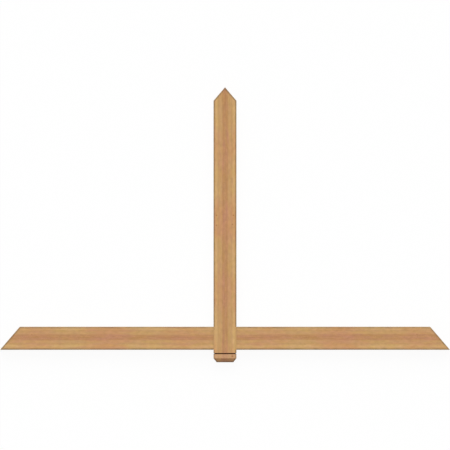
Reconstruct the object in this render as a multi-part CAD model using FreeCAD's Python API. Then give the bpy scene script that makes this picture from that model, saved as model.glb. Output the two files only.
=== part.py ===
"""Timber gable bracket: a king post crossed by a tie beam, lying on its back.

Two planed softwood timbers of the same depth are halved into each other where they cross,
so both faces of the bracket are flush. Their long edges are rounded over, except where they
cross, so that the joint closes. The king post ends in a ridge point at the top, and below
the tie beam it ends in a saw kerf and a bevelled tail. The ends of the tie beam are sawn to
the pitch of the roof, in line with the two cuts of the ridge point.

Frame, in millimetres: X runs along the tie beam, Y up the king post, Z from the back of the
bracket to its front. The origin is on the back face, at the middle of the crossing.
"""

import FreeCAD, Part

import os

# ---------------------------------------------------------------- driving dimensions

SPAN = 2743.2  # tie beam, tip to tip along its underside: 108 in
PITCH_RISE = 14.0  # roof pitch: rise ...
PITCH_RUN = 12.0  # ... for this much run
TIMBER_DEPTH = 88.9  # both timbers, back face to front face: 3 1/2 in
TIE_HEIGHT = 139.7  # tie beam, underside to top edge: 5 1/2 in
POST_WIDTH = 139.7  # king post, side to side: 5 1/2 in
POST_DROP = 76.2  # how far the king post hangs below the tie beam: 3 in

ARRIS_RADIUS = 4.8  # rounded long edges of the planed stock: 3/16 in

TAIL_BEVEL_RISE = 24.0  # bevel round the king post's lower end, measured up the post
TAIL_BEVEL_INSET = 19.0  # the same bevel, measured in from each face
KERF_ABOVE_TAIL = 53.0  # middle of the saw kerf above the lower end
KERF_WIDTH = 5.0
KERF_DEPTH = 5.0  # the kerf runs round all four faces

LAP_GAP = 0.15  # glue line at each shoulder of the lap

# ---------------------------------------------------------------- places worked out from them

HALF_SPAN = SPAN / 2
SLOPE = PITCH_RISE / PITCH_RUN
TIE_TOP = TIE_HEIGHT / 2
TIE_UNDERSIDE = -TIE_HEIGHT / 2
PEAK = TIE_UNDERSIDE + HALF_SPAN * SLOPE
POST_SIDE = POST_WIDTH / 2
PEAK_SHOULDER = PEAK - POST_SIDE * SLOPE
TAIL = TIE_UNDERSIDE - POST_DROP
LAP_PLANE = TIMBER_DEPTH / 2  # each timber keeps half its depth at the crossing
SAW_MARGIN = 50.0  # how far a cutting tool reaches past the stock


def point(x, y, z):
    return FreeCAD.Vector(x, y, z)


def block(low, high):
    """An axis-aligned block between two corners."""
    size = high - low
    return Part.makeBox(size.x, size.y, size.z, low)


def prism(outline, sweep):
    """A closed outline of points, extruded along a vector."""
    return Part.Face(Part.makePolygon(outline + outline[:1])).extrude(sweep)


def planed_stock(width, depth, length):
    """Planed timber with rounded long edges: width along X, depth along Z, length along Y from 0."""
    corners = (
        (width / 2, depth, 1, 1),
        (-width / 2, depth, -1, 1),
        (-width / 2, 0, -1, -1),
        (width / 2, 0, 1, -1),
    )
    half_diagonal = ARRIS_RADIUS * (1 - 0.5**0.5)
    arcs = []
    for x, z, side_x, side_z in corners:
        on_side = point(x, 0, z - side_z * ARRIS_RADIUS)
        on_face = point(x - side_x * ARRIS_RADIUS, 0, z)
        middle = point(x - side_x * half_diagonal, 0, z - side_z * half_diagonal)
        ends = (on_side, on_face) if side_x == side_z else (on_face, on_side)
        arcs.append(Part.Arc(ends[0], middle, ends[1]).toShape())
    edges = []
    for arc, following in zip(arcs, arcs[1:] + arcs[:1]):
        edges.append(arc)
        edges.append(Part.makeLine(arc.lastVertex().Point, following.firstVertex().Point))
    section = Part.Face(Part.Wire(edges))
    return section.extrude(point(0, length, 0))


def ridge_and_tail_outline():
    """The king post seen from the front: ridge point at the top, bevelled tail below."""
    tail_side = POST_SIDE - TAIL_BEVEL_INSET
    bevel_top = TAIL + TAIL_BEVEL_RISE
    right = [
        point(tail_side, TAIL, 0),
        point(POST_SIDE, bevel_top, 0),
        point(POST_SIDE, PEAK_SHOULDER, 0),
    ]
    left = [point(-p.x, p.y, 0) for p in reversed(right)]
    return right + [point(0, PEAK, 0)] + left


def tail_side_outline():
    """The king post seen from the side: the tail bevels on the front and back faces."""
    bevel_top = TAIL + TAIL_BEVEL_RISE
    start = -POST_SIDE - SAW_MARGIN
    return [
        point(start, TAIL, TAIL_BEVEL_INSET),
        point(start, bevel_top, 0),
        point(start, PEAK, 0),
        point(start, PEAK, TIMBER_DEPTH),
        point(start, bevel_top, TIMBER_DEPTH),
        point(start, TAIL, TIMBER_DEPTH - TAIL_BEVEL_INSET),
    ]


def kerf_ring():
    """The waste of the saw kerf: a square ring round the king post above its tail."""
    middle = TAIL + KERF_ABOVE_TAIL
    low = middle - KERF_WIDTH / 2
    high = middle + KERF_WIDTH / 2
    swept = block(
        point(-POST_SIDE - SAW_MARGIN, low, -SAW_MARGIN),
        point(POST_SIDE + SAW_MARGIN, high, TIMBER_DEPTH + SAW_MARGIN),
    )
    core = block(
        point(-POST_SIDE + KERF_DEPTH, low, KERF_DEPTH),
        point(POST_SIDE - KERF_DEPTH, high, TIMBER_DEPTH - KERF_DEPTH),
    )
    return swept.cut(core)


def crossing():
    """The block that both timbers pass through, with its edges left square."""
    return block(point(-POST_SIDE, TIE_UNDERSIDE, 0), point(POST_SIDE, TIE_TOP, TIMBER_DEPTH))


def king_post():
    stock = planed_stock(POST_WIDTH, TIMBER_DEPTH, PEAK - TAIL)
    stock.translate(point(0, TAIL, 0))
    front_view = prism(ridge_and_tail_outline(), point(0, 0, TIMBER_DEPTH))
    side_view = prism(tail_side_outline(), point(POST_WIDTH + 2 * SAW_MARGIN, 0, 0))
    tie_housing = block(
        point(-POST_SIDE - SAW_MARGIN, TIE_UNDERSIDE - LAP_GAP, -SAW_MARGIN),
        point(POST_SIDE + SAW_MARGIN, TIE_TOP + LAP_GAP, LAP_PLANE),
    )
    sawn = stock.common(front_view).common(side_view)
    return sawn.fuse(crossing()).cut(kerf_ring()).cut(tie_housing)


def tie_beam():
    stock = planed_stock(TIE_HEIGHT, TIMBER_DEPTH, SPAN)
    stock.rotate(point(0, 0, 0), point(0, 0, 1), -90)
    stock.translate(point(-HALF_SPAN, 0, 0))
    top_corner = HALF_SPAN - TIE_HEIGHT / SLOPE
    front_view = prism(
        [
            point(-HALF_SPAN, TIE_UNDERSIDE, 0),
            point(HALF_SPAN, TIE_UNDERSIDE, 0),
            point(top_corner, TIE_TOP, 0),
            point(-top_corner, TIE_TOP, 0),
        ],
        point(0, 0, TIMBER_DEPTH),
    )
    post_housing = block(
        point(-POST_SIDE - LAP_GAP, TIE_UNDERSIDE - SAW_MARGIN, LAP_PLANE),
        point(POST_SIDE + LAP_GAP, TIE_TOP + SAW_MARGIN, TIMBER_DEPTH + SAW_MARGIN),
    )
    return stock.common(front_view).fuse(crossing()).cut(post_housing)


def main():
    os.makedirs("parts", exist_ok=True)
    for name, shape in (("king_post", king_post()), ("tie_beam", tie_beam())):
        solid = shape.removeSplitter()
        solid.exportStep(f"parts/{name}.step")
        box = solid.BoundBox
        print(
            f"{name}: {len(solid.Solids)} solid, valid {solid.isValid()}, "
            f"{box.XLength:.1f} x {box.YLength:.1f} x {box.ZLength:.1f} mm, "
            f"{solid.Volume / 1e9:.5f} m3"
        )


main()
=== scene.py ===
"""A timber gable bracket lying on its back: planed softwood with rounded edges and sawn ends.

Each timber is a closed shell of long narrow faces, fine across the grain and coarse along
it. One formula for the growth rings serves twice: Geometry Nodes raise the hard late wood
by it, and the material paints by it, so relief and colour agree on every face.

Lengths are in metres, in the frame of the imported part: X along the tie beam, Y up the king
post, Z from the back of the bracket to its front.
"""

import math
from typing import NamedTuple

import bmesh
import bpy
import numpy as np
from bpy.props import FloatProperty, FloatVectorProperty, IntProperty, PointerProperty
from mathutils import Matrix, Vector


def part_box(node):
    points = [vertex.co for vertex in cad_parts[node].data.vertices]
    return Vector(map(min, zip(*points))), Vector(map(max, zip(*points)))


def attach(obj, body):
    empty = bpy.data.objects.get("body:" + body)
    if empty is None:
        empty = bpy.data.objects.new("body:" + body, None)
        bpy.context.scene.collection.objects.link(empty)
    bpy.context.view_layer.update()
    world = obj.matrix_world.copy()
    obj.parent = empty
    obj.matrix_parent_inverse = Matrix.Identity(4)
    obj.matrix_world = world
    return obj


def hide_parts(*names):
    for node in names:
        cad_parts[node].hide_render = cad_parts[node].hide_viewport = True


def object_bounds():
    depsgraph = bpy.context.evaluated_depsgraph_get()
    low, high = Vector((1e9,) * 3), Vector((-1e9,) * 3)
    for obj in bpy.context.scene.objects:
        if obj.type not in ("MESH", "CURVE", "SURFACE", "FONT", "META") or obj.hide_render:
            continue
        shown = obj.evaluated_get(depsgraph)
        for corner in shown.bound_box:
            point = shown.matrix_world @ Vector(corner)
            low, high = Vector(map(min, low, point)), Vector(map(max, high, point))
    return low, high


bl_info = {
    "name": "Timber gable bracket",
    "version": (1, 0, 0),
    "blender": (4, 5, 0),
    "location": "3D View > Sidebar > Gable bracket",
    "description": "Makes the two timbers of a gable bracket, and a plain studio round them",
    "category": "Add Mesh",
}

# ---------------------------------------------------------------- places from the frame

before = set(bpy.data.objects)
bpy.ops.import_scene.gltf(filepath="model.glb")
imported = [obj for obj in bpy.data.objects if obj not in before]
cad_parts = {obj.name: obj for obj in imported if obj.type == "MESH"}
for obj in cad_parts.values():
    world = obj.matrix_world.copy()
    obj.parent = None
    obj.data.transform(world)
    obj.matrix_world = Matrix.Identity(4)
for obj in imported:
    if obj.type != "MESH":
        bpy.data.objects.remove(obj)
packed_box = [list(corner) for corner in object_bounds()]

BODY = "root"
TIE_LOW, TIE_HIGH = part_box("tie_beam")
POST_LOW, POST_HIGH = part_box("king_post")

DEPTH = TIE_HIGH.z
LAP_PLANE = DEPTH / 2
HALF_SPAN = TIE_HIGH.x
TIE_UNDERSIDE = TIE_LOW.y
TIE_TOP = TIE_HIGH.y
POST_SIDE = POST_HIGH.x
TAIL = POST_LOW.y
PEAK = POST_HIGH.y
SLOPE = (PEAK - TIE_UNDERSIDE) / HALF_SPAN
SLANT = math.hypot(1, SLOPE)

# Kinds of surface, as the shell's faces carry them, and the relief's inputs for their finishes.
PLANED, SAWN, KERF = range(3)
FINISH_INPUTS = ("Planed finish", "Sawn finish", "Kerf finish")

# Where in a year's growth the late wood starts, is darkest, and gives way to the next year's.
LATE_START = 0.35
LATE_DARKEST = 0.88
LATE_END = 0.93

# How the tree grew.
SWAY_RUN = 0.8  # length of a bend of the pith
SWAY_IN_DEPTH = 0.6  # share of its wander that it also has up and down
YEAR_CHANGE = 0.37  # how fast wide and narrow years follow each other ...
YEAR_RUN = 2.5  # ... over what length of the timber they differ ...
YEAR_SHIFT = 0.35  # ... and how far they move a ring, in ring widths
KNOT_DRAWN = 0.35  # how much a distance along the grain counts round a knot
KNOT_BEND = 7.0  # how far from a knot the rings bend round it, in radii of the knot
WARM_CYCLE = 3  # one in so many warm stretches is as warm as the warmest ...
LEAST_WARM = 0.5  # ... and half-way between two of those, this share of the warmth is left

# Bands of colour round the pith, as shares of the timber's depth.
HEART_BLUR = 0.034  # half the border between heart and middle
DIM_BLUR = 0.06  # how softly the darker band starts
DIM_GAIN = 0.95  # how dark it is
PALE_WIDTH = 0.05  # width of the pale outer band
NEXT_DULL = 0.16  # from where that starts to the next dull place ...
NEXT_PALE = 0.27  # ... and to the next pale one
LAST_DULL = 0.97  # the last dull place

# How strongly marks show, where their pattern doesn't say it.
RINGS_LEAST = 0.05  # tint of late wood where it is weakest
HEART_FLECKED = 0.7  # share of the heart's radius in which its flecks are at full strength
CAST_SPAN = 0.8  # heights of the cast's pattern, either way, at which it is fully one or the other
CANAL_START = 1.15  # height of its pattern at which a resin canal starts ...
CANAL_FULL = 1.35  # ... and at which it is darkest
CANAL_TINT = 0.5
KNOT_RING = 2.0  # outer radius of the dense wood round a knot, in radii of the knot
KNOT_RING_TINT = 0.5
KNOT_CORE_TINT = 0.55
BEVEL_OWN = 0.8  # how much of the tail's tone the bevel's end grain hides
RIM_SHADE_BLUR = 0.5  # softness of the painted shade rim, as a share of its height
CRISP = 0.0005  # half the width of a sharp border between two colours
SIDE_SHADE_NARROWING = 1.6  # how much narrower the painted edge shade shows on a side face than on the front

# Sawn ends: rays and drying checks run out from the pith, and the blade leaves arcs.
RAYS_PER_RADIAN = 40
RAY_LENGTH = 0.03
RAY_SHADE = 0.04
CHECK_BEND_RUN = 0.02
CHECK_BEND = 0.04  # in distances from check to check
CHECK_TAPER = 6  # how many times narrower a check's black middle is
CHECK_CHOICE = 1.3  # how fast open and closed checks take turns round the pith
CHECK_CLOSED = 0.1  # below this height of that pattern a check is closed ...
CHECK_OPEN = 0.5  # ... and above this one it is open
CHECK_DARKNESS = 0.75
SAWN_LATE_TINT = 0.5
SAW_SHADE = 0.02
BLADE_SIDE = (0.8, 0.6)  # direction from the timber's middle to the blade's, in depth and across

# Roughness, and what adds to it or takes from it.
SAWN_ROUGHNESS = 0.80
KERF_ROUGHNESS = 0.85
FIBRE_ROUGHNESS = 0.03
EDGE_ROUGHNESS = 0.05
KERF_MOTTLE_ROUGHNESS = 0.04
LATE_GLOSS = 0.10
SAWN_LATE_GLOSS = 0.06
SPECULAR = 0.25  # oiled wood reflects about half as much as glass
KERF_MOTTLE_SHADE = 0.25  # how uneven the painted shade inside the kerf is

# Heights that only the shading shows.
LATE_BUMP = 0.00006
FIBRE_BUMP = 0.00002
SAW_BUMP = 0.00008
RAY_BUMP = 0.00003

SHARP = math.radians(33)  # faces that meet at a larger angle show an edge


class Figure(NamedTuple):
    """A pattern drawn out along the grain: width, length and strength of its marks, and its mean."""

    width: float
    run: float
    strength: float
    mean: float = 0.0
    shift: float = 0.0  # keeps it clear of other patterns of the same size
    detail: float = 2.0


# Patterns that lighten and darken the wood.
STREAKS = Figure(0.006, 0.032, 0.045)
FIBRES = Figure(0.0011, 0.045, 0.040)
MOTTLE = Figure(0.018, 0.030, 0.085, shift=7.0)
HEART_FLECKS = Figure(0.011, 0.0045, 0.070, shift=11.0, detail=1.0)
RING_STRENGTH = Figure(0.012, 0.2, 0.125, mean=0.30, detail=1.0)

# Patterns that turn its colour towards yellow, and towards the warm stretches.
YELLOW_CAST = Figure(0.018, 0.080, 1.0, shift=-5.0)
PINK_CAST = (1.0, 0.99, 1.08, 1.0)
OLIVE_CAST = (0.995, 1.005, 0.92, 1.0)
WARM_BORDER = Figure(0.020, 0.20, 0.045)
WARM_MOTTLE = Figure(0.017, 0.075, 0.42, shift=2.0)

# Resin canals, and the uneven strength and borders of the painted shade along the edges, beside the kerf
# and inside it.
CANALS = Figure(0.0005, 0.010, 1.0, detail=0.0)
EDGE_SHADE_MOTTLE = Figure(0.03, 0.06, 0.30, mean=0.8, shift=3.0)
EDGE_SHADE_BORDER = Figure(0.004, 0.03, 0.0014)
LIP_SHADE_BORDER = Figure(0.005, 0.003, 0.0003)
KERF_MOTTLE = Figure(0.008, 0.004, 1.0)

# Patterns in height, and in the shape of the rings and the saw marks.
FURROWS = Figure(0.004, 0.12, 0.5, mean=0.5)  # share of the fibre relief
FINE_FIBRES = Figure(0.0006, 0.02, 1.0)
COARSE_FIBRES = Figure(0.002, 0.05, 0.00003)  # in metres
KERF_TEARS = Figure(0.002, 0.001, 0.0001)  # in metres
RING_BOW = Figure(0.09, 0.34, 1.0, detail=1.0)  # its strength is a setting, as the next one's is
RING_WOBBLE = Figure(0.011, 0.08, 1.0, detail=1.0)
SAW_WANDER = Figure(0.03, 0.03, 1.0)  # in radians of the saw marks' waves


def shade(red, green, blue):
    """A colour given in steps of 0 to 255 as screens show it, as the linear colour that nodes take."""
    return tuple(((c / 255 + 0.055) / 1.055) ** 2.4 for c in (red, green, blue))


# ---------------------------------------------------------------- settings


def length(name, description, default):
    return FloatProperty(
        name=name, description=description, default=default, unit="LENGTH", precision=5
    )


def number(name, description, default):
    return FloatProperty(name=name, description=description, default=default)


def count(name, description, default):
    return IntProperty(name=name, description=description, default=default, min=1)


def degrees(name, description, default):
    return FloatProperty(
        name=name, description=description, default=math.radians(default), unit="ROTATION"
    )


def share(name, description, default):
    return FloatProperty(
        name=name, description=description, default=default, min=0, max=1, subtype="FACTOR"
    )


def colour(name, description, default):
    return FloatVectorProperty(
        name=name, description=description, default=default, size=3, min=0, max=1, subtype="COLOR"
    )


class BracketShape(bpy.types.PropertyGroup):
    """Edges and cuts of the two timbers, and how finely their shells are divided."""

    arris_radius: length("Arris radius", "Rounding of the long edges", 0.0048)
    closed_radius: length("Closed arris", "The same rounding where the timbers cross", 0.0003)
    arris_stop: length("Arris stop", "Length in which the rounding runs out at the joint", 0.0015)
    end_ease: length("Eased ends", "Softening of the edges round a sawn end", 0.0010)
    lap_gap: length("Lap gap", "Glue line at each shoulder of the lap", 0.00015)
    bevel_rise: length("Tail bevel rise", "Height of the bevel round the tail", 0.024)
    bevel_inset: length("Tail bevel inset", "Depth of the bevel round the tail", 0.019)
    kerf_height: length("Kerf height", "Middle of the saw kerf above the tail", 0.053)
    kerf_width: length("Kerf width", "Width of the saw kerf", 0.005)
    kerf_depth: length("Kerf depth", "Depth of the saw kerf", 0.005)
    kerf_lip: length("Kerf lip", "Softening of the kerf's edges", 0.0006)
    lean_length: length("Lean length", "Stretch in which rows lean over to a slanted end", 0.3)
    face_steps: count("Face steps", "Faces across a wide side", 96)
    side_steps: count("Side steps", "Faces across a narrow side", 60)
    arc_steps: count("Arc steps", "Faces round one arris", 4)
    post_row: length("Post rows", "Spacing of rows along the king post", 0.0085)
    tie_row: length("Tie rows", "Spacing of rows along the tie beam", 0.0125)
    joint_row: length("Joint rows", "Spacing of rows near cuts and joints", 0.006)
    bevel_row: length("Bevel rows", "Spacing of rows on the tail's bevel", 0.003)


class BracketGrain(bpy.types.PropertyGroup):
    """The tree that both timbers were sawn from, and what the plane and the saw left."""

    pith_depth: length("Pith depth", "Depth of the pith under the front face", 0.018)
    pith_wander: length("Pith wander", "How far the pith strays from a straight line", 0.0016)
    ring_width: length("Ring width", "Width of one year's growth", 0.0034)
    ring_bow: length("Ring bow", "Slow waves of the rings along the timber", 0.0016)
    ring_wobble: length("Ring wobble", "Small unevenness of the rings", 0.0007)
    raised_grain: length("Raised grain", "Height of late wood over early wood", 0.00016)
    fibre_relief: length("Fibre relief", "Unevenness between fibres", 0.00005)
    saw_relief: length("Saw marks", "Depth of the marks across a sawn end", 0.00018)
    saw_spacing: length("Saw mark spacing", "Distance between saw marks", 0.0046)
    blade_radius: length("Blade radius", "Radius of the saw marks", 0.127)
    knot_radius: length("Knot radius", "Radius of a pin knot", 0.0013)
    knot_swell: length("Knot swell", "How far the rings bend round a pin knot", 0.0014)
    checks: count("Checks", "Drying checks from the pith", 9)
    check_length: length("Check length", "Reach of the drying checks from the pith", 0.045)
    check_width: length("Check width", "Width of the drying checks", 0.0006)


class BracketFinish(bpy.types.PropertyGroup):
    """Colours of the oiled wood, from the pith outwards, in its pale and its warm stretches."""

    heart_pale: colour("Pale heart", "Wood near the pith, pale", shade(181, 135, 89))
    heart_warm: colour("Warm heart", "Wood near the pith, warm", shade(185, 133, 98))
    middle_pale: colour("Pale middle", "Wood between pith and edge, pale", shade(192, 152, 100))
    middle_warm: colour("Warm middle", "Wood between pith and edge, warm", shade(194, 144, 101))
    outer_pale: colour("Pale outer", "Outermost wood, pale", shade(204, 165, 110))
    outer_warm: colour("Warm outer", "Outermost wood, warm", shade(198, 148, 99))
    late_wood: colour("Late wood", "Tint of the hard part of a ring", (0.80, 0.68, 0.56))
    # Painted shade: the grey tint along the rounded edges and in the rim at the foot of the bevel.
    edge_shade_tint: colour("Arris tint", "Tint of the handled edges", (0.55, 0.59, 0.63))
    knot_wood: colour("Knot", "Core of a pin knot", shade(124, 78, 42))
    end_tint: colour("End grain tint", "Tint of wood cut across", (0.70, 0.62, 0.54))
    tail_wood: colour("Tail", "Tone towards which the tail's wood leans", shade(198, 157, 122))
    # Painted shade: the near-black inside of the kerf and of the open drying checks.
    kerf_wood: colour("Kerf", "Wood inside the kerf", shade(32, 13, 5))
    # Painted shade along the kerf's lips.
    kerf_lip_shade: colour("Scorched", "Wood browned by the saw", shade(96, 34, 8))
    # Painted shade along the rounded edges: its reach, and the share of it in which it fades.
    edge_shade_reach: length("Arris reach", "How far the handled edge's tint reaches", 0.0085)
    edge_shade_fade: share("Arris fade", "Share of that reach in which the tint fades", 0.3)
    # Painted shade in a rim at the foot of the tail's bevel: its height and strength.
    rim_shade_reach: length("Rim reach", "Height of the dark rim at the foot of the bevel", 0.006)
    rim_shade_strength: share("Rim", "Strength of that dark rim", 0.56)
    bevel_strength: share("Bevel", "Strength of the end grain's tint on the bevel", 0.6)
    tail_strength: share("Tail strength", "How far the tail's wood leans to its tone", 0.4)
    # Painted shade along the kerf's lips: its reach and strength.
    lip_shade_reach: length("Scorch reach", "How far the browning reaches from the kerf", 0.0028)
    lip_shade_strength: share("Scorch", "Strength of the browning at the kerf", 0.8)
    # Painted shade on the tie beam beside the king post: its width and strength.
    joint_shade_reach: length("Joint reach", "Width of the dull wood beside the king post", 0.015)
    joint_shade: share("Joint dulling", "How much duller the wood is there", 0.06)
    heart_reach: length("Heart reach", "Radius of the heart", 0.025)
    dim_reach: length("Dim reach", "Radius of a slightly darker band", 0.0435)
    outer_reach: length("Outer reach", "Radius at which the pale outer wood starts", 0.0550)
    brightness: number("Brightness", "Makes up for what rings, canals and knots darken", 1.035)
    roughness: share("Roughness", "Roughness of the planed face", 0.56)


class BracketStudio(bpy.types.PropertyGroup):
    """Floor, light and camera."""

    floor_size: length("Floor size", "Side of the square floor", 60.0)
    floor_drop: length("Floor drop", "How far the floor lies under the back face", 0.0003)
    floor_colour: colour("Floor", "Colour of the floor", (0.96, 0.96, 0.96))
    floor_glow: share("Floor white", "How much of the seen floor is plain white", 0.94)
    sky: number("Sky", "Strength of the even light from all sides", 0.52)
    key: number("Key", "Light that the lamp gives a face square to it", 2.1)
    key_tilt: degrees("Key tilt", "Lean of the lamp", 45)
    key_spread: degrees("Key spread", "Width of the lamp as seen from the bracket", 50)
    lens: number("Lens", "Focal length in millimetres", 600.0)
    sensor: number("Sensor", "Sensor width in millimetres", 36.0)
    aim_drop: length("Aim", "How far the camera is aimed below the middle", 0.0012)


# ---------------------------------------------------------------- node maths


class Tree:
    """A node tree that is being written, for shaders and for geometry alike."""

    def __init__(self, tree):
        self.tree = tree

    def add(self, kind, settings=None, inputs=None):
        """A new node with its settings, and then the values or links of its sockets."""
        node = self.tree.nodes.new(kind)
        for name, value in (settings or {}).items():
            if name == "stops":
                self.set_stops(node.color_ramp, value)
            else:
                setattr(node, name, value)
        for key, value in (inputs or {}).items():
            if isinstance(value, Value):
                value = value.socket
            if isinstance(value, bpy.types.NodeSocket):
                self.tree.links.new(value, node.inputs[key])
            else:
                node.inputs[key].default_value = value
        return node

    @staticmethod
    def set_stops(ramp, stops):
        """Gives a colour ramp its stops, each a place and a colour."""
        while len(ramp.elements) < len(stops):
            ramp.elements.new(1.0)
        for element, (place, tone) in zip(ramp.elements, stops):
            element.position = place
            element.color = (*tone, 1.0)

    def math(self, operation, *terms):
        """The result of one Math node, as a Value."""
        node = self.add("ShaderNodeMath", {"operation": operation}, dict(enumerate(terms)))
        return Value(self, node.outputs[0])

    def point(self, x, y, z):
        return self.add("ShaderNodeCombineXYZ", None, {0: x, 1: y, 2: z}).outputs[0]

    def split(self, point):
        node = self.add("ShaderNodeSeparateXYZ", None, {0: point})
        return [Value(self, socket) for socket in node.outputs]

    def noise(self, x, y, z, detail=1.0):
        """Smooth noise about 0, mostly within 1 either way, with bumps about one unit wide."""
        inputs = {"Vector": self.point(x, y, z), "Scale": 1.0, "Detail": detail}
        node = self.add("ShaderNodeTexNoise", None, inputs)
        return (Value(self, node.outputs[0]) - 0.5) * 4

    def mix(self, factor, first, second, blend="MIX"):
        """Colours mixed, where the inputs 0, 6 and 7 are the Mix node's factor and two colours."""
        settings = {"data_type": "RGBA", "blend_type": blend}
        node = self.add("ShaderNodeMix", settings, {0: factor, 6: first, 7: second})
        return node.outputs[2]

    def tint(self, factor, base, tone):
        """A colour multiplied by a tone, as far as the factor says."""
        return self.mix(factor, base, (*tone, 1.0), "MULTIPLY")

    def brighten(self, base, gain):
        """A colour times a value."""
        return self.mix(1.0, base, gain, "MULTIPLY")


class Value:
    """A number in a node tree, whose operators add Math nodes."""

    def __init__(self, tree, socket):
        self.tree = tree
        self.socket = socket

    def __add__(self, other):
        return self.tree.math("ADD", self, other)

    def __sub__(self, other):
        return self.tree.math("SUBTRACT", self, other)

    def __rsub__(self, other):
        return self.tree.math("SUBTRACT", other, self)

    def __mul__(self, other):
        return self.tree.math("MULTIPLY", self, other)

    def __truediv__(self, other):
        return self.tree.math("DIVIDE", self, other)

    __radd__ = __add__
    __rmul__ = __mul__

    def __abs__(self):
        return self.tree.math("ABSOLUTE", self)

    def root(self):
        return self.tree.math("SQRT", self)

    def cosine(self):
        return self.tree.math("COSINE", self)

    def fraction(self):
        return self.tree.math("FRACT", self)

    def least(self, other):
        return self.tree.math("MINIMUM", self, other)

    def most(self, other):
        return self.tree.math("MAXIMUM", self, other)

    def rise(self, start, end):
        """0 before start, 1 past end and a smooth step between them, which may run backwards."""
        low, high = min(start, end), max(start, end)
        node = self.tree.add(
            "ShaderNodeMapRange",
            {"interpolation_type": "SMOOTHSTEP"},
            {"Value": self, "From Min": low, "From Max": high},
        )
        step = Value(self.tree, node.outputs[0])
        return step if start < end else 1 - step


# ---------------------------------------------------------------- the two timbers


class Timber(NamedTuple):
    """How one timber lies and how it grew."""

    node: str
    along_x: bool  # else it runs along Y
    seed: float  # gives it a grain of its own
    pith_across: float  # how far its pith lies from the middle of the front face
    warmest: float  # a place along it where the wood is warmest ...
    warm_spacing: float  # ... and the distance to the next such place
    knots: tuple  # where small knots come out: along, across, depth, and size over a pin knot's


POST_KNOTS = (
    (0.750, -0.052, DEPTH, 1.0),
    (0.689, -0.052, DEPTH, 1.0),
    (0.750, 0.052, DEPTH, 1.0),
    (0.695, 0.046, DEPTH, 1.0),
    (TAIL + 0.0370, 0.045, DEPTH, 1.8),
    (1.120, POST_SIDE, 0.031, 1.3),
    (0.410, -POST_SIDE, 0.052, 1.0),
)
TIE_KNOTS = (
    (-1.178, 0.025, DEPTH, 1.0),
    (1.170, 0.025, DEPTH, 1.0),
    (0.540, TIE_UNDERSIDE, 0.036, 1.2),
    (-0.380, TIE_TOP, 0.047, 1.0),
)

KING_POST = Timber(
    node="king_post",
    along_x=False,
    seed=3.1,
    pith_across=0.0,
    warmest=0.715,
    warm_spacing=0.44,
    knots=POST_KNOTS,
)
TIE_BEAM = Timber(
    node="tie_beam",
    along_x=True,
    seed=8.6,
    pith_across=0.0068,
    warmest=0.705,
    warm_spacing=0.47,
    knots=TIE_KNOTS,
)


class Grain:
    """Where a point lies in its timber, and in the tree that the timber was sawn from."""

    def __init__(self, tree, position, timber, grain, seed):
        x, y, self.depth = tree.split(position)
        self.along, self.across = (x, y) if timber.along_x else (y, x)
        self.tree = tree
        self.timber = timber
        self.seed = seed

        sideways, upwards = (
            tree.noise(self.along / SWAY_RUN, seed, apart, detail=0) * grain.pith_wander
            for apart in (0.0, 5.0)
        )
        self.right = self.across - timber.pith_across - sideways
        self.up = self.depth - (DEPTH - grain.pith_depth) - upwards * SWAY_IN_DEPTH
        squared = self.right * self.right + self.up * self.up
        radius = squared.root()

        self.knot = None
        for along, across, depth, size in timber.knots:
            distance = self.from_knot(squared, along, across, depth, grain) / size
            self.knot = distance if self.knot is None else self.knot.least(distance)

        bow = self.figure(RING_BOW._replace(strength=grain.ring_bow))
        wobble = self.figure(RING_WOBBLE._replace(strength=grain.ring_wobble))
        bend = self.knot.rise(grain.knot_radius * KNOT_BEND, grain.knot_radius)
        self.radius = radius + bow + wobble + bend * grain.knot_swell

        year = self.radius / grain.ring_width
        unevenness = tree.noise(year * YEAR_CHANGE, self.along / YEAR_RUN, seed, detail=0) * YEAR_SHIFT
        phase = (year + unevenness).fraction()
        self.late = phase.rise(LATE_START, LATE_DARKEST) * phase.rise(1.0, LATE_END)

    def from_knot(self, squared, along, across, depth, grain):
        """Distance from the line of a small branch, which runs from the pith to where it shows."""
        right = across - self.timber.pith_across
        up = depth - (DEPTH - grain.pith_depth)
        reach = math.hypot(right, up)
        outwards = (self.right * (right / reach) + self.up * (up / reach)).most(0.0)
        lengthwise = (self.along - along) * KNOT_DRAWN
        return (squared - outwards * outwards + lengthwise * lengthwise).most(0.0).root()

    def figure(self, figure):
        """A pattern about its mean, mostly within its strength either way."""
        across = self.across / figure.width + (self.seed + figure.shift)
        depth = self.depth / figure.width
        marks = self.tree.noise(self.along / figure.run, across, depth, figure.detail)
        marks = marks * figure.strength
        return marks + figure.mean if figure.mean else marks

    def warmth(self):
        """0 in pale stretches of the timber and 1 in the warmest, with streaky borders."""
        along = self.along + self.figure(WARM_BORDER) - self.timber.warmest
        turn = along * (math.tau / self.timber.warm_spacing)
        swing = turn.cosine() * 0.5 + 0.5
        weaker_away = (turn / WARM_CYCLE).cosine() * ((1 - LEAST_WARM) / 2) + (1 + LEAST_WARM) / 2
        return swing * weaker_away + self.figure(WARM_MOTTLE)

    def saw_marks(self, grain):
        """Waves in arcs, as a blade leaves them on a sawn end."""
        aside, above = (part * grain.blade_radius for part in BLADE_SIDE)
        sideways = self.depth - LAP_PLANE + aside
        upwards = self.across + above
        arc = (sideways * sideways + upwards * upwards).root()
        return (arc * (math.tau / grain.saw_spacing) + self.figure(SAW_WANDER)).cosine()


# ---------------------------------------------------------------- shells


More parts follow.
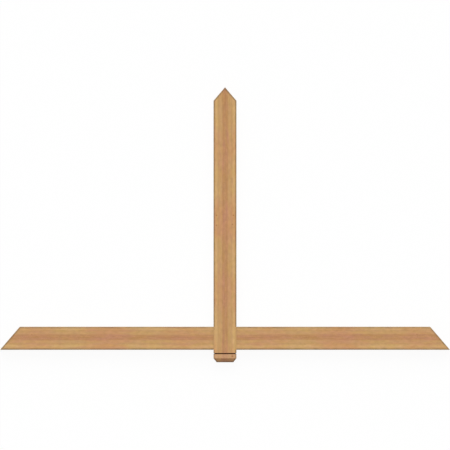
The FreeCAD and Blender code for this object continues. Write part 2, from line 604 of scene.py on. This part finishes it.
def section(shape, inset, radius):
    """Across and depth of the points round a section: front, right, back and left in turn."""
    half = POST_SIDE - inset - radius
    low = inset + radius
    high = DEPTH - inset - radius
    # The corner after each side and the angle at which its arc starts, then the side itself.
    turns = (
        (half, high, 90, (-half, high + radius), (half, high + radius), shape.face_steps),
        (half, low, 0, (half + radius, high), (half + radius, low), shape.side_steps),
        (-half, low, -90, (half, low - radius), (-half, low - radius), shape.face_steps),
        (-half, high, 180, (-half - radius, low), (-half - radius, high), shape.side_steps),
    )
    points = []
    for across, depth, angle, start, end, steps in turns:
        points.append(np.linspace(start, end, steps, endpoint=False))
        swept = np.radians(angle - 90 * np.arange(shape.arc_steps) / shape.arc_steps)
        arc = np.stack([np.cos(swept), np.sin(swept)], 1) * radius
        points.append(arc + (across, depth))
    return np.concatenate(points)


class Row(NamedTuple):
    """One row of a shell: its place along the timber, how far it is drawn in, and its lean."""

    along: float
    inset: float
    radius: float
    lean: float = 0.0  # 1 follows the slanted end at +along, -1 the one at -along
    kind: int = PLANED  # surface from this row to the next


def evenly(start, end, spacing):
    """Places from start to end, both included, at most spacing apart."""
    return np.linspace(start, end, max(1, math.ceil(abs(end - start) / spacing)) + 1)


def stretch_of(start, end, spacing, radius, lean_length=None):
    """Plain rows from start to end, which lean over to its slant in the last lean_length."""
    rows = []
    for along in evenly(start, end, spacing):
        lean = max(0.0, 1 - (end - along) / lean_length) if lean_length else 0.0
        rows.append(Row(along, 0.0, radius, lean))
    return rows


def eased_end(shape, end):
    """The two rows that round the edge of a slanted end: the middle of the round, and the end."""
    radius = shape.arris_radius
    ease = shape.end_ease
    middle = ease * 0.3  # about as on a quarter circle
    return [
        Row(end - middle, middle, radius - middle, 1.0),
        Row(end, ease, radius - ease, 1.0),
    ]


def tie_rows(shape):
    """Rows of the tie beam from left to right, and the first and last row of its housing."""
    shoulder = POST_SIDE + shape.lap_gap
    run_out = shoulder + shape.arris_stop
    last = HALF_SPAN - shape.end_ease
    joint = [Row(shoulder, 0.0, shape.closed_radius)]
    arm = stretch_of(run_out, last, shape.tie_row, shape.arris_radius, shape.lean_length)
    right = joint + arm + eased_end(shape, HALF_SPAN)
    left = [Row(-r.along, r.inset, r.radius, -r.lean) for r in reversed(right)]
    middle = stretch_of(-shoulder, shoulder, shape.tie_row, shape.closed_radius)
    rows = left + middle[1:-1] + right
    return rows, len(left) - 1, len(left) + len(middle) - 2


def tail_rows(shape):
    """Rows of the king post's tail and of the saw kerf above it, and where the next row lies."""
    ease = shape.end_ease
    radius = shape.arris_radius
    bevel_top = TAIL + shape.bevel_rise
    pitch = shape.bevel_inset / shape.bevel_rise
    taper = 0.2  # how much of its inset a row of the bevel loses in rounding

    def bevelled(along, extra=0.0):
        inset = (bevel_top - along) * pitch + extra
        return Row(along, inset, max(radius - inset * taper, ease))

    rows = [bevelled(TAIL, ease)]
    rows += [bevelled(along) for along in evenly(TAIL + ease, bevel_top - ease, shape.bevel_row)]
    kerf_low = TAIL + shape.kerf_height - shape.kerf_width / 2
    kerf_high = kerf_low + shape.kerf_width
    lip = shape.kerf_lip
    rows += stretch_of(bevel_top + ease, kerf_low - lip, shape.joint_row, radius)
    rows += [
        Row(kerf_low, lip, radius - lip, kind=KERF),
        Row(kerf_low, shape.kerf_depth, lip, kind=KERF),
        Row(kerf_high, shape.kerf_depth, lip, kind=KERF),
        Row(kerf_high, lip, radius - lip),
    ]
    return rows, kerf_high + lip


def post_rows(shape):
    """Rows of the king post from tail to peak, and the first and last row of its housing."""
    radius = shape.arris_radius
    low = TIE_UNDERSIDE - shape.lap_gap
    high = TIE_TOP + shape.lap_gap
    last = PEAK - shape.end_ease
    tail, neck = tail_rows(shape)
    below = tail + stretch_of(neck, low - shape.arris_stop, shape.joint_row, radius)
    middle = stretch_of(low, high, shape.post_row, shape.closed_radius)
    shaft = stretch_of(high + shape.arris_stop, last, shape.post_row, radius, shape.lean_length)
    rows = below + middle + shaft + eased_end(shape, PEAK)
    return rows, len(below), len(below) + len(middle) - 1


def slant_of(timber, across, lean):
    """How far a leaning row's points lie from its own place along the timber."""
    if timber.along_x:
        return -lean * (across - TIE_UNDERSIDE) / SLOPE
    return -lean * np.abs(across) * SLOPE


class Shell:
    """A closed mesh in the making: points, faces, each face's surface and its places on a map.

    The map is laid out for strips: the long faces lie side by side along its width, and the
    ends and the joint's hidden faces lie in a band above them.
    """

    STRIP_LOW = 0.004
    STRIP_HIGH = 0.860
    BAND_LOW = 0.875
    BAND_HIGH = 0.995
    BAND_CELLS = 5  # the joint's floor, its two shoulders, and the timber's two ends
    CELL_MARGIN = 0.04

    def __init__(self, shape, timber, rows, open_from, open_to, open_front):
        self.shape = shape
        self.timber = timber
        self.points = []
        self.faces = []
        self.kinds = []
        self.maps = []
        self.cells = 0
        self.round = len(section(shape, 0.0, shape.arris_radius))
        self.mid_right = shape.face_steps + shape.arc_steps + shape.side_steps // 2
        self.mid_left = self.mid_right + self.round // 2
        self.add_rows(rows, open_from, open_to, open_front)
        self.add_joint(open_from, open_to, open_front)
        self.add_cap(rows[0], 0)
        self.add_cap(rows[-1], len(rows) - 1)

    def add_points(self, across, depth, along):
        """Adds points in the timber's own directions, and returns the number of the first."""
        first = len(self.points)
        columns = (along, across, depth) if self.timber.along_x else (across, along, depth)
        self.points.extend(np.stack(columns, 1).tolist())
        return first

    def add_face(self, corners, places, kind):
        """Adds a face with its corners' places on the map and its kind of surface."""
        self.faces.append(corners)
        self.maps.append(places)
        self.kinds.append(kind)

    def in_opening(self, i, front):
        """Whether the face after point i of a row lies in the front or in the back half."""
        return (i < self.mid_right or i >= self.mid_left) == front

    def add_rows(self, rows, open_from, open_to, open_front):
        """Points of all rows, and the faces between them, left out where the housing is open."""
        outline = section(self.shape, 0.0, self.shape.arris_radius)
        steps = np.linalg.norm(np.roll(outline, -1, 0) - outline, axis=1)
        sideways = np.concatenate([[0.0], np.cumsum(steps)]) / steps.sum()
        sideways = self.STRIP_LOW + sideways * (self.STRIP_HIGH - self.STRIP_LOW)
        lengths = [math.hypot(b.along - a.along, b.inset - a.inset) for a, b in zip(rows, rows[1:])]
        lengthways = np.concatenate([[0.0], np.cumsum(lengths)]) / sum(lengths)
        lengthways = self.STRIP_LOW + lengthways * (1 - 2 * self.STRIP_LOW)
        for row in rows:
            across, depth = section(self.shape, row.inset, row.radius).T
            self.add_points(across, depth, row.along + slant_of(self.timber, across, row.lean))
        for j, row in enumerate(rows[:-1]):
            for i in range(self.round):
                if open_from <= j < open_to and self.in_opening(i, open_front):
                    continue
                here, there = j * self.round, (j + 1) * self.round
                after = (i + 1) % self.round
                u, v = lengthways[j : j + 2], sideways[i : i + 2]
                corners = (here + i, here + after, there + after, there + i)
                places = ((u[0], v[0]), (u[0], v[1]), (u[1], v[1]), (u[1], v[0]))
                self.add_face(corners, places, row.kind)

    def band_cell(self, width, height):
        """A function from places in a flat face to the map, in a new cell of the upper band."""
        cell = self.cells
        self.cells += 1

        def place(a, b):
            u = cell + self.CELL_MARGIN + (1 - 2 * self.CELL_MARGIN) * a / width
            v = self.BAND_LOW + (self.BAND_HIGH - self.BAND_LOW) * b / height
            return (u / self.BAND_CELLS, v)

        return place

    def add_joint(self, open_from, open_to, open_front):
        """The housing: its floor at the lap plane, and its two shoulders."""
        place = self.band_cell(open_to - open_from, 1.0)
        for j in range(open_from, open_to):
            left, right = (j * self.round + m for m in (self.mid_left, self.mid_right))
            corners = (left, right, right + self.round, left + self.round)
            k = j - open_from
            self.add_face(corners, [place(k, 0), place(k, 1), place(k + 1, 1), place(k + 1, 0)], SAWN)
        span = range(self.mid_left - self.round, self.mid_right + 1)
        if not open_front:
            span = range(self.mid_right, self.mid_left + 1)
        outline = section(self.shape, 0.0, self.shape.closed_radius)
        for j in (open_from, open_to):
            place = self.band_cell(2 * POST_SIDE, DEPTH)
            ring = [i % self.round for i in span]
            places = [place(outline[i][0] + POST_SIDE, outline[i][1]) for i in ring]
            self.add_face([j * self.round + i for i in ring], places, SAWN)

    def add_cap(self, row, j):
        """A sawn end: a grid within the row, strips out to its straight sides, fans at its corners."""
        shape = self.shape
        outline = section(shape, row.inset, row.radius)
        half = POST_SIDE - row.inset - row.radius
        low = row.inset + row.radius
        columns = np.linspace(-half, half, shape.face_steps + 1)
        levels = np.linspace(low, DEPTH - low, shape.side_steps + 1)
        across, depth = (g.ravel() for g in np.meshgrid(columns, levels, indexing="ij"))
        along = row.along + slant_of(self.timber, across, row.lean)
        first = self.add_points(across, depth, along)
        ring = j * self.round
        cell = self.band_cell(2 * POST_SIDE, DEPTH)

        def inner(i, k):
            n = i * (shape.side_steps + 1) + k
            return first + n, cell(across[n] + POST_SIDE, depth[n])

        def outer(i):
            i %= self.round
            return ring + i, cell(outline[i][0] + POST_SIDE, outline[i][1])

        def face(*corners):
            self.add_face([c[0] for c in corners], [c[1] for c in corners], SAWN)

        wide, tall, arc = shape.face_steps, shape.side_steps, shape.arc_steps
        for i in range(wide):
            for k in range(tall):
                face(inner(i, k), inner(i + 1, k), inner(i + 1, k + 1), inner(i, k + 1))
        right = wide + arc
        back = right + tall + arc
        left = back + wide + arc
        for i in range(wide):
            face(outer(i), outer(i + 1), inner(i + 1, tall), inner(i, tall))
            face(outer(back + i), outer(back + i + 1), inner(wide - i - 1, 0), inner(wide - i, 0))
        for k in range(tall):
            face(outer(right + k), outer(right + k + 1), inner(wide, tall - k - 1), inner(wide, tall - k))
            face(outer(left + k), outer(left + k + 1), inner(0, k + 1), inner(0, k))
        corners = (
            (wide, wide, tall),
            (right + tall, wide, 0),
            (back + wide, 0, 0),
            (left + tall, 0, tall),
        )
        for start, i, k in corners:
            for step in range(start, start + arc):
                face(outer(step), outer(step + 1), inner(i, k))

    def mesh(self, name):
        """The finished mesh, with its map and each face's kind of surface."""
        mesh = bpy.data.meshes.new(name)
        mesh.from_pydata(self.points, [], self.faces)
        layer = mesh.uv_layers.new(name="OFBake")
        places = np.array([place for face in self.maps for place in face], np.float32)
        layer.uv.foreach_set("vector", places.ravel())
        kinds = mesh.attributes.new("surface", "INT", "FACE")
        kinds.data.foreach_set("value", self.kinds)
        work = bmesh.new()
        work.from_mesh(mesh)
        bmesh.ops.recalc_face_normals(work, faces=work.faces)
        work.to_mesh(mesh)
        work.free()
        mesh.shade_smooth()
        return mesh


# ---------------------------------------------------------------- relief


def relief_group(timber, grain):
    """Geometry Nodes that raise the grain of a shell and give each surface its finish."""
    group = bpy.data.node_groups.new(f"{timber.node}_relief", "GeometryNodeTree")
    new_socket = group.interface.new_socket
    new_socket("Geometry", in_out="INPUT", socket_type="NodeSocketGeometry")
    new_socket("Geometry", in_out="OUTPUT", socket_type="NodeSocketGeometry")
    for name, value in (
        ("Seed", timber.seed),
        ("Raised grain", grain.raised_grain),
        ("Fibre relief", grain.fibre_relief),
        ("Saw marks", grain.saw_relief),
    ):
        new_socket(name, in_out="INPUT", socket_type="NodeSocketFloat").default_value = value
    for name in FINISH_INPUTS:
        new_socket(name, in_out="INPUT", socket_type="NodeSocketMaterial")

    tree = Tree(group)
    given = tree.add("NodeGroupInput").outputs
    seed, raised, fibre, saw = (Value(tree, socket) for socket in given[1:5])
    position = tree.add("GeometryNodeInputPosition").outputs[0]
    wood = Grain(tree, position, timber, grain, seed)

    kind = tree.add(
        "GeometryNodeInputNamedAttribute", {"data_type": "INT"}, {"Name": "surface"}
    ).outputs[0]
    # Inputs 2 and 3 of the Compare node are its two whole numbers.
    planed, sawn, kerf = (
        tree.add(
            "FunctionNodeCompare", {"data_type": "INT", "operation": "EQUAL"}, {2: kind, 3: k}
        ).outputs[0]
        for k in (PLANED, SAWN, KERF)
    )
    on_face = Value(tree, planed)
    on_end = Value(tree, sawn)

    early = (1 - wood.late) * on_face * raised
    furrow = wood.figure(FURROWS).most(0.0) * on_face * fibre
    marks = (wood.saw_marks(grain) * 0.5 + 0.5) * on_end * saw
    sunk = (early + furrow + marks) * -1.0
    normal = tree.add("GeometryNodeInputNormal").outputs[0]
    offset = tree.add("ShaderNodeVectorMath", {"operation": "SCALE"}, {0: normal, 3: sunk})
    moved = tree.add(
        "GeometryNodeSetPosition", None, {"Geometry": given[0], "Offset": offset.outputs[0]}
    )
    shell = tree.add("GeometryNodeRealizeInstances", None, {0: moved.outputs[0]}).outputs[0]
    for chosen, finish in zip((planed, sawn, kerf), given[5:8]):
        shell = tree.add(
            "GeometryNodeSetMaterial",
            None,
            {"Geometry": shell, "Selection": chosen, "Material": finish},
        ).outputs[0]
    tree.add("NodeGroupOutput", None, {0: shell})
    return group


def with_relief(piece, timber, grain, finishes):
    """Runs the relief on a piece and leaves it a plain mesh."""
    for finish in finishes:
        piece.data.materials.append(finish)
    modifier = piece.modifiers.new("Relief", "NODES")
    modifier.node_group = relief_group(timber, grain)
    names = {s.name: s.identifier for s in modifier.node_group.interface.items_tree}
    for name, finish in zip(FINISH_INPUTS, finishes):
        modifier[names[name]] = finish
    evaluated = piece.evaluated_get(bpy.context.evaluated_depsgraph_get())
    finished = bpy.data.meshes.new_from_object(evaluated)
    piece.modifiers.remove(modifier)
    piece.data = finished
    finished.set_sharp_from_angle(angle=SHARP)


# ---------------------------------------------------------------- materials


def material_tree(name):
    """A new material, and its tree with nothing in it."""
    material = bpy.data.materials.new(name)
    material.use_nodes = True
    material.node_tree.nodes.clear()
    return material, Tree(material.node_tree)


def object_position(tree):
    return tree.add("ShaderNodeTexCoord").outputs["Object"]


def ring_stops(heart, middle, outer, finish):
    """Colours by distance from the pith, over the depth of the timber."""
    inner = finish.heart_reach / DEPTH
    dim = finish.dim_reach / DEPTH
    outside = finish.outer_reach / DEPTH
    return [
        (inner - HEART_BLUR, heart),
        (inner + HEART_BLUR, middle),
        (dim - DIM_BLUR, middle),
        (dim, [c * DIM_GAIN for c in middle]),
        (outside, outer),
        (outside + PALE_WIDTH, outer),
        (outside + NEXT_DULL, middle),
        (outside + NEXT_PALE, outer),
        (LAST_DULL, middle),
    ]


def wood_colour(tree, wood, finish):
    """Planed wood without edges or knots: broad bands, warm stretches, rings and fibres."""
    place = wood.radius / DEPTH
    tones = []
    for kind in ("pale", "warm"):
        zones = [getattr(finish, f"{zone}_{kind}") for zone in ("heart", "middle", "outer")]
        stops = ring_stops(*zones, finish)
        tones.append(tree.add("ShaderNodeValToRGB", {"stops": stops}, {0: place}).outputs[0])
    base = tree.mix(wood.warmth(), *tones)
    strength = wood.figure(RING_STRENGTH).most(RINGS_LEAST)
    base = tree.tint(wood.late * strength, base, finish.late_wood)
    heart = wood.radius.rise(finish.heart_reach, finish.heart_reach * HEART_FLECKED)
    gain = wood.figure(STREAKS) + wood.figure(FIBRES) + wood.figure(MOTTLE) + finish.brightness
    base = tree.brighten(base, wood.figure(HEART_FLECKS) * heart + gain)
    yellow = wood.figure(YELLOW_CAST).rise(-CAST_SPAN, CAST_SPAN)
    base = tree.brighten(base, tree.mix(yellow, PINK_CAST, OLIVE_CAST))
    canals = wood.figure(CANALS).rise(CANAL_START, CANAL_FULL) * CANAL_TINT
    return tree.tint(canals, base, finish.late_wood)


def knotted(tree, wood, base, grain, finish):
    """A colour with the small knots on it: a soft ring of dense wood, and a dark core."""
    knot = grain.knot_radius
    ring = wood.knot.rise(knot * KNOT_RING, knot) * KNOT_RING_TINT
    core = wood.knot.rise(knot, knot / 2) * KNOT_CORE_TINT
    base = tree.tint(ring, base, finish.late_wood)
    return tree.mix(core, base, (*finish.knot_wood, 1.0))


def edge_distance(wood, shape):
    """Distance on the surface to the nearest edge, counted up on the sides, where the painted edge shade
    is narrower.
    """
    side = POST_SIDE - abs(wood.across)
    face = (LAP_PLANE - abs(wood.depth - LAP_PLANE)) * SIDE_SHADE_NARROWING
    if wood.timber.along_x:
        end = (HALF_SPAN - abs(wood.along)) * (SLOPE / SLANT) - (wood.across - TIE_UNDERSIDE) / SLANT
    else:
        end = (PEAK - wood.along - abs(wood.across) * SLOPE) / SLANT
        end = end.least(wood.along - TAIL)
        run = math.hypot(shape.bevel_rise, shape.bevel_inset)
        drop = (TAIL + shape.bevel_rise - wood.along) * (shape.bevel_inset / run)
        side = side.least(side * (shape.bevel_rise / run) - drop)
        face = face.least(face * (shape.bevel_rise / run) - drop)
    return side.least(face).most(side.most(face).least(end))


def open_arris(wood, shape):
    """1 where the long edges are bare, and 0 where the other timber covers them."""
    crossing = POST_SIDE if wood.timber.along_x else TIE_TOP
    return abs(wood.along).rise(crossing, crossing + shape.arris_stop * 2)


def tail_colour(tree, wood, base, shape, finish):
    """The king post's colour at its tail: another tone, half-cut fibres, a painted shade rim at its foot
    and painted shade along the kerf's lips.
    """
    bevel_top = TAIL + shape.bevel_rise
    kerf = TAIL + shape.kerf_height
    bevel = wood.along.rise(bevel_top + CRISP, bevel_top - CRISP)
    tail = wood.along.rise(kerf + CRISP, kerf - CRISP) - bevel * BEVEL_OWN
    base = tree.mix(tail * finish.tail_strength, base, (*finish.tail_wood, 1.0))
    base = tree.tint(bevel * finish.bevel_strength, base, finish.end_tint)
    # Painted shade: a dark rim at the foot of the bevel.
    blur = finish.rim_shade_reach * RIM_SHADE_BLUR
    rim = wood.along.rise(TAIL + finish.rim_shade_reach + blur, TAIL + finish.rim_shade_reach - blur)
    base = tree.tint(rim * finish.rim_shade_strength, base, finish.edge_shade_tint)
    # Painted shade along the lips of the kerf.
    beyond = abs(wood.along - kerf) - shape.kerf_width / 2 + wood.figure(LIP_SHADE_BORDER)
    lip_shaded = beyond.rise(finish.lip_shade_reach, 0.0) * finish.lip_shade_strength
    return tree.mix(lip_shaded, base, (*finish.kerf_lip_shade, 1.0))


def finish_material(tree, material, base, roughness, height, bump):
    """Ends a material's tree with its shader, and returns the material."""
    normal = tree.add(
        "ShaderNodeBump", None, {"Strength": bump, "Distance": 1.0, "Height": height}
    ).outputs[0]
    shader = tree.add(
        "ShaderNodeBsdfPrincipled",
        None,
        {
            "Base Color": base,
            "Roughness": roughness,
            "Normal": normal,
            "Specular IOR Level": SPECULAR,
        },
    )
    tree.add("ShaderNodeOutputMaterial", None, {"Surface": shader.outputs[0]})
    return material


def planed_material(timber, settings):
    """Planed faces, with painted shade along the rounded edges and the bevel's half-cut fibres."""
    material, tree = material_tree(f"{timber.node}_planed")
    grain, finish, shape = settings.grain, settings.finish, settings.shape
    wood = Grain(tree, object_position(tree), timber, grain, timber.seed)
    base = wood_colour(tree, wood, finish)

    # Painted shade along the rounded edges, left off where the other timber covers them.
    near = edge_distance(wood, shape) + wood.figure(EDGE_SHADE_BORDER)
    outer = finish.edge_shade_reach * (1 + finish.edge_shade_fade)
    inner = finish.edge_shade_reach * (1 - finish.edge_shade_fade)
    edge_shade = near.rise(outer, inner) * open_arris(wood, shape) * wood.figure(EDGE_SHADE_MOTTLE)
    base = tree.tint(edge_shade, base, finish.edge_shade_tint)
    if timber.along_x:
        # Painted shade on the tie beam's faces beside the king post.
        shade_beside_post = abs(wood.along).rise(POST_SIDE + finish.joint_shade_reach, POST_SIDE)
        base = tree.brighten(base, 1 - shade_beside_post * finish.joint_shade)
    else:
        base = tail_colour(tree, wood, base, shape, finish)
    base = knotted(tree, wood, base, grain, finish)

    fine = wood.figure(FINE_FIBRES)
    rough = finish.roughness + fine * FIBRE_ROUGHNESS - wood.late * LATE_GLOSS + edge_shade * EDGE_ROUGHNESS
    height = wood.late * LATE_BUMP + fine * FIBRE_BUMP + wood.figure(COARSE_FIBRES)
    return finish_material(tree, material, base, rough, height, bump=0.6)


def sawn_material(timber, settings):
    """Sawn ends: rings end on, fine rays and drying checks from the pith, and saw marks."""
    material, tree = material_tree(f"{timber.node}_sawn")
    grain, finish = settings.grain, settings.finish
    wood = Grain(tree, object_position(tree), timber, grain, timber.seed)
    base = wood_colour(tree, wood, finish)
    base = tree.tint(1.0, base, finish.end_tint)
    base = tree.tint(wood.late * SAWN_LATE_TINT, base, finish.late_wood)

    angle = tree.math("ARCTAN2", wood.right, wood.up)
    rays = tree.noise(angle * RAYS_PER_RADIAN, wood.radius / RAY_LENGTH, timber.seed)
    base = tree.brighten(base, rays * RAY_SHADE + 1)
    crooked = tree.noise(wood.radius / CHECK_BEND_RUN, timber.seed, 3.0) * CHECK_BEND
    spoke = (angle * (grain.checks / math.tau) + crooked).fraction()
    beside = abs(spoke - 0.5) * wood.radius
    thin = beside.rise(grain.check_width, grain.check_width / CHECK_TAPER)
    choice = tree.noise(angle * CHECK_CHOICE, timber.seed, 0.0, detail=0)
    opened = choice.rise(CHECK_CLOSED, CHECK_OPEN)
    split = thin * opened * wood.radius.rise(grain.check_length, grain.check_length / 2)
    # Open checks are filled with the near-black painted shade.
    base = tree.mix(split * CHECK_DARKNESS, base, (*finish.kerf_wood, 1.0))
    marks = wood.saw_marks(grain)
    base = tree.brighten(base, marks * SAW_SHADE + 1)

    rough = wood.late * -SAWN_LATE_GLOSS + SAWN_ROUGHNESS
    height = marks * SAW_BUMP + rays * RAY_BUMP - split * grain.check_width
    return finish_material(tree, material, base, rough, height, bump=0.8)


def kerf_material(timber, settings):
    """The inside of the kerf: near-black painted shade, made uneven."""
    material, tree = material_tree(f"{timber.node}_kerf")
    wood = Grain(tree, object_position(tree), timber, settings.grain, timber.seed)
    kerf_mottle = wood.figure(KERF_MOTTLE)
    base = tree.brighten((*settings.finish.kerf_wood, 1.0), kerf_mottle * KERF_MOTTLE_SHADE + 1)
    rough = kerf_mottle * KERF_MOTTLE_ROUGHNESS + KERF_ROUGHNESS
    return finish_material(tree, material, base, rough, wood.figure(KERF_TEARS), bump=0.8)


# ---------------------------------------------------------------- operators


def make_timber(context, timber, layout, open_front):
    """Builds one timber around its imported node, from its rows and the two that end its housing."""
    settings = context.scene.gable_bracket
    shell = Shell(settings.shape, timber, *layout, open_front)
    piece = bpy.data.objects.new(f"{timber.node}_timber", shell.mesh(f"{timber.node}_timber"))
    context.scene.collection.objects.link(piece)
    finishes = [make(timber, settings) for make in (planed_material, sawn_material, kerf_material)]
    with_relief(piece, timber, settings.grain, finishes)
    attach(piece, BODY)
    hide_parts(timber.node)


class GABLE_OT_king_post(bpy.types.Operator):
    """Make the king post, with its ridge point, housing, saw kerf and bevelled tail"""

    bl_idname = "gable.king_post"
    bl_label = "King post"

    def execute(self, context):
        make_timber(context, KING_POST, post_rows(context.scene.gable_bracket.shape), False)
        return {"FINISHED"}


class GABLE_OT_tie_beam(bpy.types.Operator):
    """Make the tie beam, with its slanted ends and its housing"""

    bl_idname = "gable.tie_beam"
    bl_label = "Tie beam"

    def execute(self, context):
        make_timber(context, TIE_BEAM, tie_rows(context.scene.gable_bracket.shape), True)
        return {"FINISHED"}


def seen_directly(tree):
    """1 for rays from the camera, by mirror-like surfaces or through glass, and 0 for the rest."""
    path = tree.add("ShaderNodeLightPath").outputs
    rays = [Value(tree, path[f"Is {kind} Ray"]) for kind in ("Camera", "Glossy", "Transmission")]
    return rays[0].most(rays[1]).most(rays[2])


class GABLE_OT_studio(bpy.types.Operator):
    """Make the white floor, the even sky, the soft key lamp and the camera"""

    bl_idname = "gable.studio"
    bl_label = "Studio"

    def execute(self, context):
        studio = context.scene.gable_bracket.studio
        self.make_floor(context, studio)
        self.make_sky(context, studio)
        self.make_key(context, studio)
        self.make_camera(context, studio)
        context.scene.view_settings.view_transform = "Standard"
        return {"FINISHED"}

    def make_floor(self, context, studio):
        half = studio.floor_size / 2
        mesh = bpy.data.meshes.new("floor")
        corners = [(-half, -half), (half, -half), (half, half), (-half, half)]
        mesh.from_pydata([(x, y, -studio.floor_drop) for x, y in corners], [], [range(4)])
        floor = bpy.data.objects.new("floor", mesh)
        context.scene.collection.objects.link(floor)
        material, tree = material_tree("floor")
        paper = tree.add("ShaderNodeBsdfDiffuse", None, {"Color": (*studio.floor_colour, 1.0)})
        white = tree.add("ShaderNodeEmission", None, {"Strength": 1.0})
        seen = tree.add(
            "ShaderNodeMixShader",
            None,
            {0: seen_directly(tree) * studio.floor_glow, 1: paper.outputs[0], 2: white.outputs[0]},
        )
        tree.add("ShaderNodeOutputMaterial", None, {"Surface": seen.outputs[0]})
        mesh.materials.append(material)

    def make_sky(self, context, studio):
        world = bpy.data.worlds.new("sky")
        world.use_nodes = True
        world.node_tree.nodes.clear()
        tree = Tree(world.node_tree)
        light, white = (
            tree.add("ShaderNodeBackground", None, {"Color": (1, 1, 1, 1), "Strength": strength})
            for strength in (studio.sky, 1.0)
        )
        seen = tree.add(
            "ShaderNodeMixShader",
            None,
            {0: seen_directly(tree), 1: light.outputs[0], 2: white.outputs[0]},
        )
        tree.add("ShaderNodeOutputWorld", None, {"Surface": seen.outputs[0]})
        context.scene.world = world

    def make_key(self, context, studio):
        lamp = bpy.data.lights.new("key", "SUN")
        lamp.energy = studio.key
        lamp.angle = studio.key_spread
        key = bpy.data.objects.new("key", lamp)
        key.rotation_euler = (-studio.key_tilt, 0, 0)
        context.scene.collection.objects.link(key)

    def make_camera(self, context, studio):
        low, high = (np.array(corner) for corner in packed_box)
        centre = (low + high) / 2
        lens = bpy.data.cameras.new("camera")
        lens.lens = studio.lens
        lens.sensor_width = studio.sensor
        distance = (high - low)[0] * studio.lens / studio.sensor
        camera = bpy.data.objects.new("camera", lens)
        camera.location = (centre[0], centre[1] - studio.aim_drop, high[2] + distance)
        lens.clip_start = distance / 100
        lens.clip_end = distance * 3
        context.scene.collection.objects.link(camera)
        context.scene.camera = camera


# ---------------------------------------------------------------- add-on


class BracketSettings(bpy.types.PropertyGroup):
    """Everything that can be set on the bracket and its studio."""

    shape: PointerProperty(type=BracketShape)
    grain: PointerProperty(type=BracketGrain)
    finish: PointerProperty(type=BracketFinish)
    studio: PointerProperty(type=BracketStudio)


class GABLE_PT_bracket(bpy.types.Panel):
    """The bracket's settings, and a button for each piece"""

    bl_label = "Gable bracket"
    bl_idname = "GABLE_PT_bracket"
    bl_space_type = "VIEW_3D"
    bl_region_type = "UI"
    bl_category = "Gable bracket"

    def draw(self, context):
        settings = context.scene.gable_bracket
        for title in ("shape", "grain", "finish", "studio"):
            box = self.layout.box()
            box.label(text=title.capitalize())
            group = getattr(settings, title)
            for name in group.__annotations__:
                box.prop(group, name)
        for operator in OPERATORS:
            self.layout.operator(operator.bl_idname)


OPERATORS = (GABLE_OT_king_post, GABLE_OT_tie_beam, GABLE_OT_studio)
CLASSES = (
    BracketShape,
    BracketGrain,
    BracketFinish,
    BracketStudio,
    BracketSettings,
    *OPERATORS,
    GABLE_PT_bracket,
)


def register():
    for each in CLASSES:
        bpy.utils.register_class(each)
    bpy.types.Scene.gable_bracket = PointerProperty(type=BracketSettings)


def unregister():
    del bpy.types.Scene.gable_bracket
    for each in reversed(CLASSES):
        bpy.utils.unregister_class(each)


def main():
    register()
    bpy.ops.gable.king_post()
    bpy.ops.gable.tie_beam()
    bpy.ops.gable.studio()


if __name__ == "__main__":
    main()
